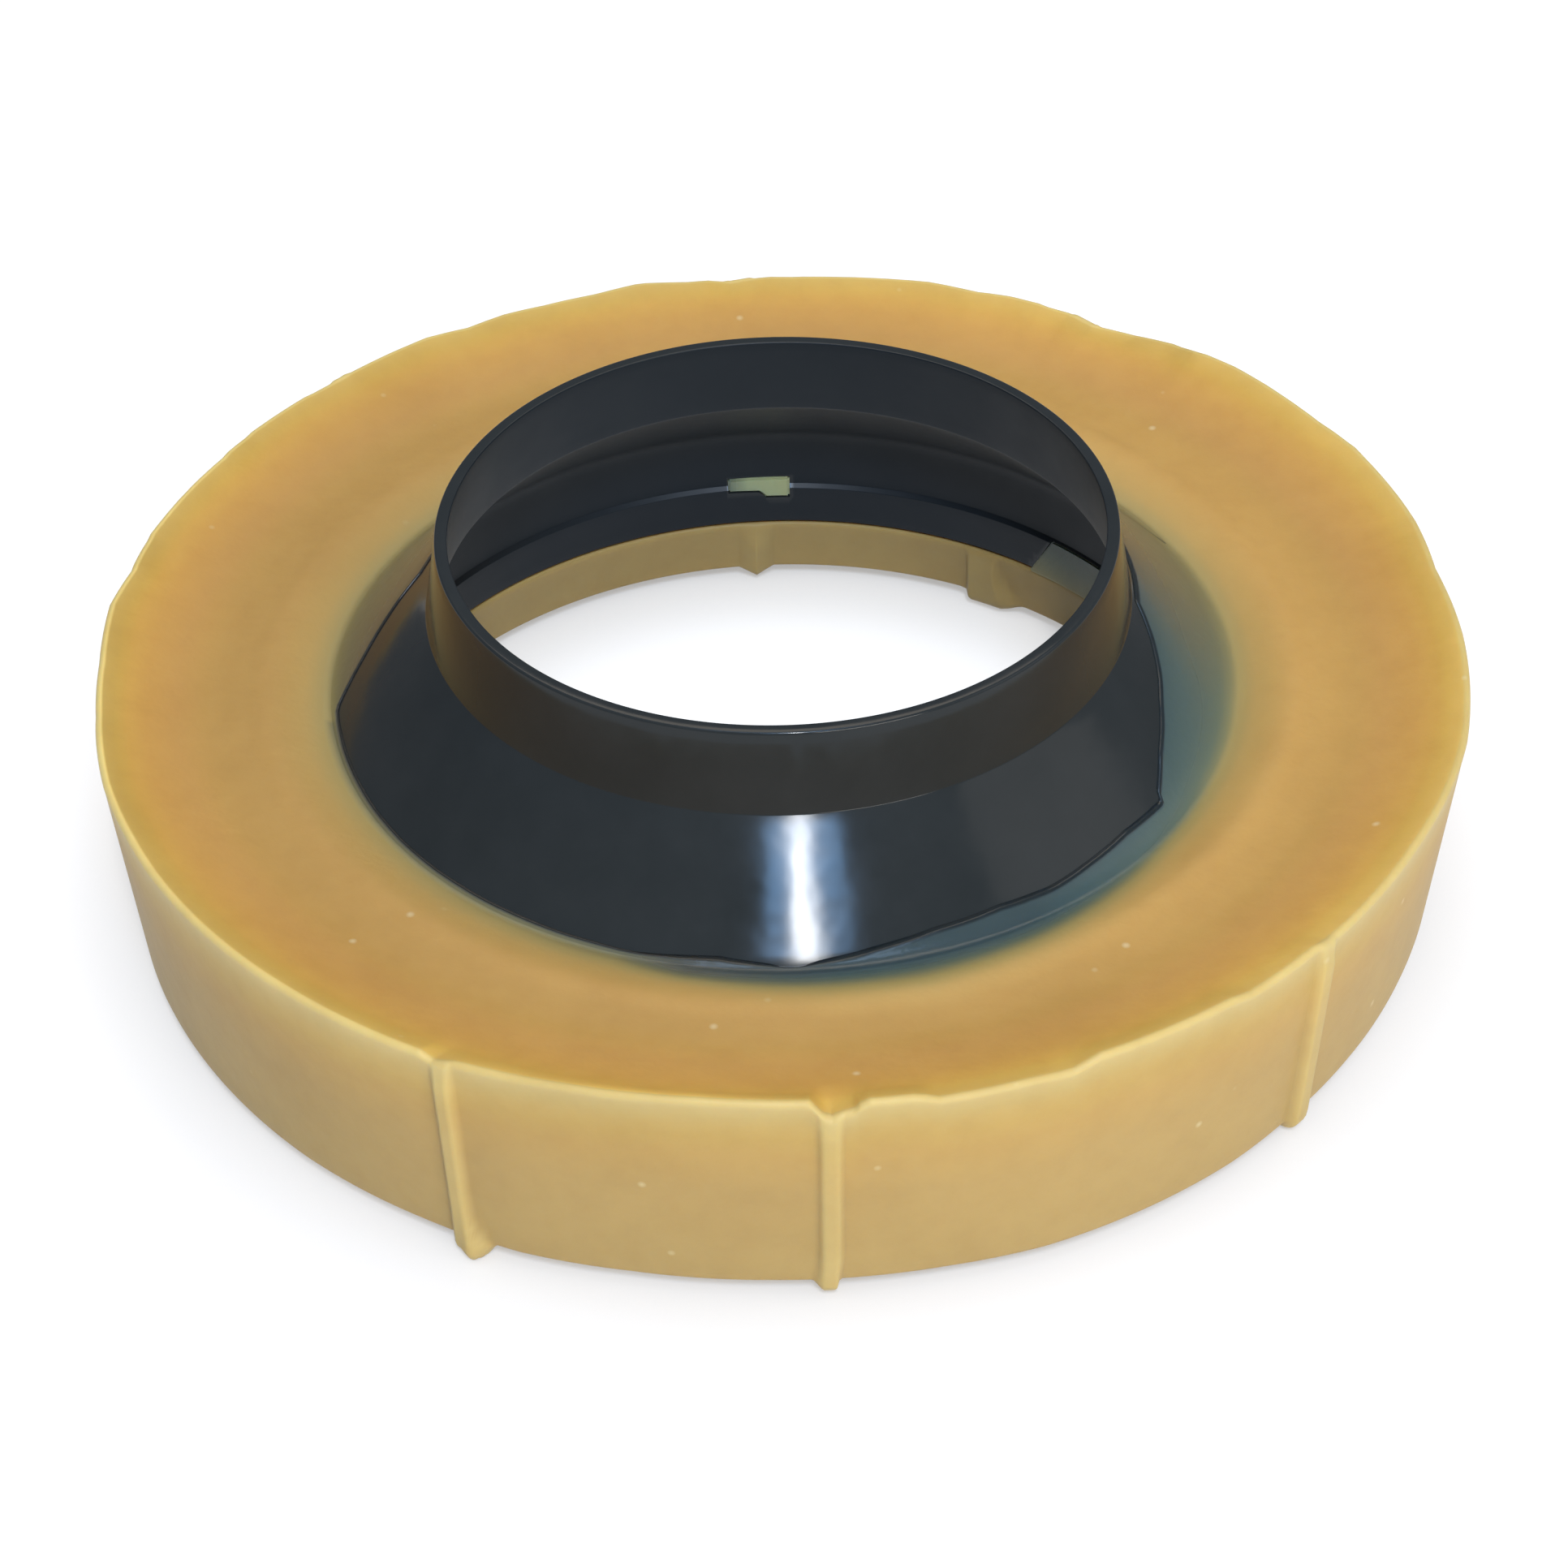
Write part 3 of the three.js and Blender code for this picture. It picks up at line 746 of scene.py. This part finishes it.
    # Skin puckers of 1.5 mm left as the wax set, on slow swells of 11 mm
    pucker = node(tree, "ShaderNodeTexNoise", {"Scale": 1 / 0.0015, "Detail": 3.0}, {"Vector": coords})
    swell = node(tree, "ShaderNodeTexNoise", {"Scale": 1 / 0.011, "Detail": 2.0}, {"Vector": coords})
    relief = node(tree, "ShaderNodeMath", {"operation": "MULTIPLY_ADD", 1: 4.0},
                  {0: swell.outputs["Fac"], 2: pucker.outputs["Fac"]})
    bump = node(tree, "ShaderNodeBump", {"Strength": 0.25, "Distance": 0.00018}, {"Height": relief.outputs[0]})
    shader = node(tree, "ShaderNodeBsdfPrincipled",
                  {"IOR": 1.44, "Specular IOR Level": 0.35, "Metallic": 0.0, "Subsurface Weight": settings.glow,
                   "Subsurface Radius": (1.0, 0.62, 0.3), "Subsurface Scale": 0.003},
                  {"Base Color": colour.outputs[2], "Roughness": gloss.outputs["Result"],
                   "Normal": bump.outputs["Normal"]})
    node(tree, "ShaderNodeOutputMaterial", {}, {"Surface": shader.outputs[0]})
    return material


def horn_material():
    """Black polyethylene, injection moulded: near black with a blue cast, glossy, faintly rippled."""
    material, tree = new_material("black moulded polyethylene")
    coords = node(tree, "ShaderNodeTexCoord").outputs["Object"]
    # Handling bloom in patches about 9 mm across
    bloom = node(tree, "ShaderNodeTexNoise", {"Scale": 1 / 0.009, "Detail": 4.0, "Roughness": 0.6},
                 {"Vector": coords})
    handled = node(tree, "ShaderNodeMix", {"data_type": "RGBA", 6: linear("222627"), 7: linear("2D3031")},
                   {"Factor": bloom.outputs["Fac"]})
    # Painted shade: the wall's inner face is painted blacker, as the shade inside the horn, and it is also
    # rougher
    inside = node(tree, "ShaderNodeAttribute", {"attribute_name": "inside"})
    colour = node(tree, "ShaderNodeMix", {"data_type": "RGBA", 7: linear("0E171E")},
                  {"Factor": inside.outputs["Fac"], 6: handled.outputs[2]})
    gloss = node(tree, "ShaderNodeMapRange", {"From Min": 0.3, "From Max": 0.75, "To Min": 0.1, "To Max": 0.18},
                 {"Value": bloom.outputs["Fac"]})
    rough = node(tree, "ShaderNodeMath", {"operation": "MULTIPLY_ADD", 1: 0.36},
                 {0: inside.outputs["Fac"], 2: gloss.outputs["Result"]})
    # Slow sink ripples about 6 mm long in the moulded wall
    ripple = node(tree, "ShaderNodeTexNoise", {"Scale": 1 / 0.006, "Detail": 2.0}, {"Vector": coords})
    bump = node(tree, "ShaderNodeBump", {"Strength": 0.3, "Distance": 0.00014},
                {"Height": ripple.outputs["Fac"]})
    shader = node(tree, "ShaderNodeBsdfPrincipled", {"IOR": 1.51, "Specular IOR Level": 0.2, "Metallic": 0.0},
                  {"Base Color": colour.outputs[2], "Roughness": rough.outputs[0],
                   "Normal": bump.outputs["Normal"]})
    node(tree, "ShaderNodeOutputMaterial", {}, {"Surface": shader.outputs[0]})
    return material


def table_material(settings):
    """White laminate table: reads as plain white where lit, and keeps the seal's soft shadow."""
    material, tree = new_material("white matt table")
    seen = node(tree, "ShaderNodeLightPath")
    direct = node(tree, "ShaderNodeMath", {"operation": "MAXIMUM"},
                  {0: seen.outputs["Is Camera Ray"], 1: seen.outputs["Is Glossy Ray"]})
    either = node(tree, "ShaderNodeMath", {"operation": "MAXIMUM"},
                  {0: direct.outputs[0], 1: seen.outputs["Is Transmission Ray"]})
    matt = node(tree, "ShaderNodeBsdfDiffuse", {"Color": (0.8, 0.8, 0.8, 1)})
    shadow_colour = (settings.shadow * 1.06, settings.shadow, settings.shadow * 0.94, 1)
    shade = node(tree, "ShaderNodeBsdfDiffuse", {"Color": shadow_colour})
    # Under the bore, where the ring keeps the lamps off, the table glows a little more
    spot = node(tree, "ShaderNodeTexCoord").outputs["Object"]
    away = node(tree, "ShaderNodeVectorMath", {"operation": "LENGTH"}, {0: spot})
    pad = node(tree, "ShaderNodeMapRange",
               {"interpolation_type": "SMOOTHSTEP", "From Min": 0.034, "From Max": 0.05,
                "To Min": settings.table_white + 0.2, "To Max": settings.table_white},
               {"Value": away.outputs["Value"]})
    # The soft shade where something stands on it or close over it, within 22 mm
    contact = node(tree, "ShaderNodeAmbientOcclusion", {"samples": 6, "Distance": 0.022})
    clear = node(tree, "ShaderNodeMapRange", {"From Min": 0.0, "From Max": 1.0, "To Min": 0.55, "To Max": 1.0},
                 {"Value": contact.outputs["AO"]})
    dimmed = node(tree, "ShaderNodeMath", {"operation": "MULTIPLY"},
                  {0: pad.outputs["Result"], 1: clear.outputs["Result"]})
    glow = node(tree, "ShaderNodeEmission", {"Color": (1, 1, 1, 1)}, {"Strength": dimmed.outputs[0]})
    both = node(tree, "ShaderNodeAddShader", {}, {0: shade.outputs[0], 1: glow.outputs[0]})
    mix = node(tree, "ShaderNodeMixShader", {}, {0: either.outputs[0], 1: matt.outputs[0], 2: both.outputs[0]})
    node(tree, "ShaderNodeOutputMaterial", {}, {"Surface": mix.outputs[0]})
    return material


def build_key(opening):
    """The wax that fills one skirt opening, with its edges rounded and the numbers that its material reads."""
    bottom = opening["bottom"][0][1]
    block = wedge(opening, SKIRT_BORE + 0.12, COLLAR_RADIUS + 1.5, 0.02)
    sharp = [e for e in block.edges if len(e.link_faces) == 2 and e.calc_face_angle() > 0.9]
    bmesh.ops.bevel(block, geom=sharp, offset=0.22 * MM, segments=2, affect="EDGES")
    key = bpy.data.meshes.new("key")
    block.to_mesh(key)
    block.free()
    points = np.array([v.co for v in key.vertices]) / MM
    turn = np.degrees(np.arctan2(points[:, 1], points[:, 0]))
    across = np.clip((turn - opening["low"]) / (opening["high"][0] - opening["low"]), 0, 1)
    up = np.clip((points[:, 2] - bottom) / (opening["top"] - bottom), 0, 1)
    add_attribute(key, "over_plastic", np.interp(across, *zip(*opening["cover"])) + opening["rise"] * up)
    add_attribute(key, "lit_through", np.interp(across, *zip(*opening["lit"])))
    for name, value in (
        ("from_crest", 0.8), ("on_wall", 1.0), ("raised", 0.0),
        ("cast_tone", 1.0), ("warmth", 0.1), ("from_crack", 9.0),
    ):
        add_attribute(key, name, np.full(len(points), value))
    return key


class PanSealWaxSettings(bpy.types.PropertyGroup):
    """What a user would change on the wax ring"""

    glow: bpy.props.FloatProperty(
        name="Glow", description="How much light seeps into the wax",
        default=0.35, min=0, max=1, subtype="FACTOR"
    )


class PanSealHornSettings(bpy.types.PropertyGroup):
    """What a user would change on the horn"""

    openings: bpy.props.BoolProperty(
        name="Skirt openings", description="Cut the openings that the wax keys into", default=True
    )


class PanSealStageSettings(bpy.types.PropertyGroup):
    """What a user would change on the table, light and camera"""

    table_white: bpy.props.FloatProperty(
        name="Table white", description="Brightness of the table to the camera", default=0.67, min=0, max=1
    )
    shadow: bpy.props.FloatProperty(
        name="Shadow strength", description="Share of the table's white that lamps give",
        default=0.4, min=0, max=1
    )
    distance: bpy.props.FloatProperty(
        name="Camera distance", description="From the lens to the ring's lip plane",
        default=0.39998, unit="LENGTH"
    )
    focal: bpy.props.FloatProperty(
        name="Focal length", description="Lens in millimetres on a 36 mm sensor", default=89.74
    )


class PANSEAL_OT_wax_ring(bpy.types.Operator):
    """Build the cast wax ring with its lip, ribs, film and keys"""

    bl_idname = "panseal.wax_ring"
    bl_label = "Wax ring"

    def execute(self, context):
        mesh = build_wax_skin()
        whole = bmesh.new()
        whole.from_mesh(mesh)
        for opening in OPENINGS:
            key = build_key(opening)
            whole.from_mesh(key)
            bpy.data.meshes.remove(key)
        whole.to_mesh(mesh)
        whole.free()
        material = wax_material(context.scene.panseal_wax)
        place("wax_ring_piece", mesh, material, "wax_ring")
        return {"FINISHED"}


class PANSEAL_OT_horn(bpy.types.Operator):
    """Build the moulded horn with its neck, cone, collar, flange and pierced skirt"""

    bl_idname = "panseal.horn"
    bl_label = "Horn"

    def execute(self, context):
        piece = place("horn_piece", build_horn_skin(), horn_material(), "horn")
        if context.scene.panseal_horn.openings:
            for opening in OPENINGS:
                cut_opening(piece, opening)
        piece.data.set_sharp_from_angle(angle=math.radians(50))
        return {"FINISHED"}


def lamp(name, towards, distance, width, height, power, colour):
    """A rectangular lamp that faces the seal from a bearing and elevation."""
    light = bpy.data.lights.new(name, "AREA")
    light.shape = "RECTANGLE"
    light.size, light.size_y = width, height
    light.energy = power
    light.color = linear(colour)[:3]
    piece = bpy.data.objects.new(name, light)
    bearing, elevation = (math.radians(a) for a in towards)
    level = math.cos(elevation)
    aim = Vector((math.cos(bearing) * level, math.sin(bearing) * level, math.sin(elevation)))
    piece.location = aim * distance
    piece.rotation_euler = aim.to_track_quat("Z", "Y").to_euler()
    bpy.context.scene.collection.objects.link(piece)


class PANSEAL_OT_stage(bpy.types.Operator):
    """Set the table, the lamps, the surroundings and the camera"""

    bl_idname = "panseal.stage"
    bl_label = "Table, lamps and camera"

    def execute(self, context):
        scene = context.scene
        settings = scene.panseal_stage
        scene.view_settings.view_transform = "Standard"

        shape = bmesh.new()
        bmesh.ops.create_grid(shape, x_segments=1, y_segments=1, size=0.25)
        mesh = bpy.data.meshes.new("table_top")
        shape.to_mesh(mesh)
        shape.free()
        table = bpy.data.objects.new("table_top", mesh)
        table.location.z = -0.0002
        scene.collection.objects.link(table)
        mesh.materials.append(table_material(settings))

        # A strip lamp in a cool window draws the bright line down the cone; the soft lamps light the rest
        lamp("strip_lamp", (-84.8, 52.5), 1.3, 0.084, 0.34, 8.0, "FFFFFF")
        lamp("cool_window", (-83.8, 52), 1.5, 0.42, 0.21, 6.8, "8CC4FF")
        lamp("top_window", (-90, 88), 1.2, 0.5, 0.3, 3.1, "BCDAFF")
        lamp("front_softbox", (-64, 16), 1.6, 0.9, 0.5, 12.8, "FFFAF1")
        lamp("back_softbox", (95, 60), 0.8, 0.42, 0.42, 1.6, "FFF0DC")
        lamp("side_softbox", (-6, 35), 1.5, 1.1, 0.55, 1.8, "FFF8EE")

        world = bpy.data.worlds.new("pale room")
        scene.world = world
        world.use_nodes = True
        tree = world.node_tree
        tree.nodes.clear()
        seen = node(tree, "ShaderNodeLightPath")
        room = node(tree, "ShaderNodeBackground", {"Color": linear("E8ECF2"), "Strength": 0.24})
        white = node(tree, "ShaderNodeBackground", {"Color": (1, 1, 1, 1), "Strength": 1.0})
        mix = node(tree, "ShaderNodeMixShader", {},
                   {0: seen.outputs["Is Camera Ray"], 1: room.outputs[0], 2: white.outputs[0]})
        node(tree, "ShaderNodeOutputWorld", {}, {"Surface": mix.outputs[0]})

        add_camera(scene, settings)
        return {"FINISHED"}


# The view of the photograph: height above the horizon, then the small tilts of the lens off the ring's middle
ELEVATION, PITCH, YAW, ROLL = 36.841, -2.152, 0.015, -1.347


def add_camera(scene, settings):
    """The camera of the photograph's view, aimed at the ring's middle and tilted off it."""
    lift = math.radians(ELEVATION)
    back = Vector((0, -math.cos(lift), math.sin(lift)))
    place_at = back * settings.distance + Vector((0, 0, LIP * MM))
    right = Vector((1, 0, 0))
    up = back.cross(right)
    a, b, c = (math.radians(v) for v in (PITCH, YAW, ROLL))
    up, back = math.cos(a) * up + math.sin(a) * back, math.cos(a) * back - math.sin(a) * up
    right, back = math.cos(b) * right + math.sin(b) * back, math.cos(b) * back - math.sin(b) * right
    right, up = math.cos(c) * right + math.sin(c) * up, math.cos(c) * up - math.sin(c) * right
    lens = bpy.data.cameras.new("photo_view")
    lens.sensor_width = 36.0
    lens.lens = settings.focal
    lens.clip_start = 0.01
    camera = bpy.data.objects.new("photo_view", lens)
    camera.matrix_world = Matrix((
        (right.x, up.x, back.x, place_at.x),
        (right.y, up.y, back.y, place_at.y),
        (right.z, up.z, back.z, place_at.z),
        (0, 0, 0, 1),
    ))
    scene.collection.objects.link(camera)
    scene.camera = camera


class PANSEAL_PT_panel(bpy.types.Panel):
    """Lists the operators and their settings in the 3D view's sidebar"""

    bl_label = "Pan seal"
    bl_idname = "PANSEAL_PT_panel"
    bl_space_type = "VIEW_3D"
    bl_region_type = "UI"
    bl_category = "Pan seal"

    def draw(self, context):
        scene = context.scene
        for operator, settings in (
            ("panseal.wax_ring", scene.panseal_wax),
            ("panseal.horn", scene.panseal_horn),
            ("panseal.stage", scene.panseal_stage),
        ):
            box = self.layout.box()
            for name in settings.bl_rna.properties.keys():
                if name not in ("rna_type", "name"):
                    box.prop(settings, name)
            box.operator(operator)


CLASSES = (
    PanSealWaxSettings,
    PanSealHornSettings,
    PanSealStageSettings,
    PANSEAL_OT_wax_ring,
    PANSEAL_OT_horn,
    PANSEAL_OT_stage,
    PANSEAL_PT_panel,
)


def register():
    """Adds the classes and their settings to Blender."""
    for cls in CLASSES:
        bpy.utils.register_class(cls)
    bpy.types.Scene.panseal_wax = bpy.props.PointerProperty(type=PanSealWaxSettings)
    bpy.types.Scene.panseal_horn = bpy.props.PointerProperty(type=PanSealHornSettings)
    bpy.types.Scene.panseal_stage = bpy.props.PointerProperty(type=PanSealStageSettings)


def unregister():
    """Takes them out again."""
    del bpy.types.Scene.panseal_stage
    del bpy.types.Scene.panseal_horn
    del bpy.types.Scene.panseal_wax
    for cls in reversed(CLASSES):
        bpy.utils.unregister_class(cls)


def main():
    register()
    bpy.ops.panseal.stage()
    bpy.ops.panseal.horn()
    bpy.ops.panseal.wax_ring()


if __name__ == "__main__":
    main()
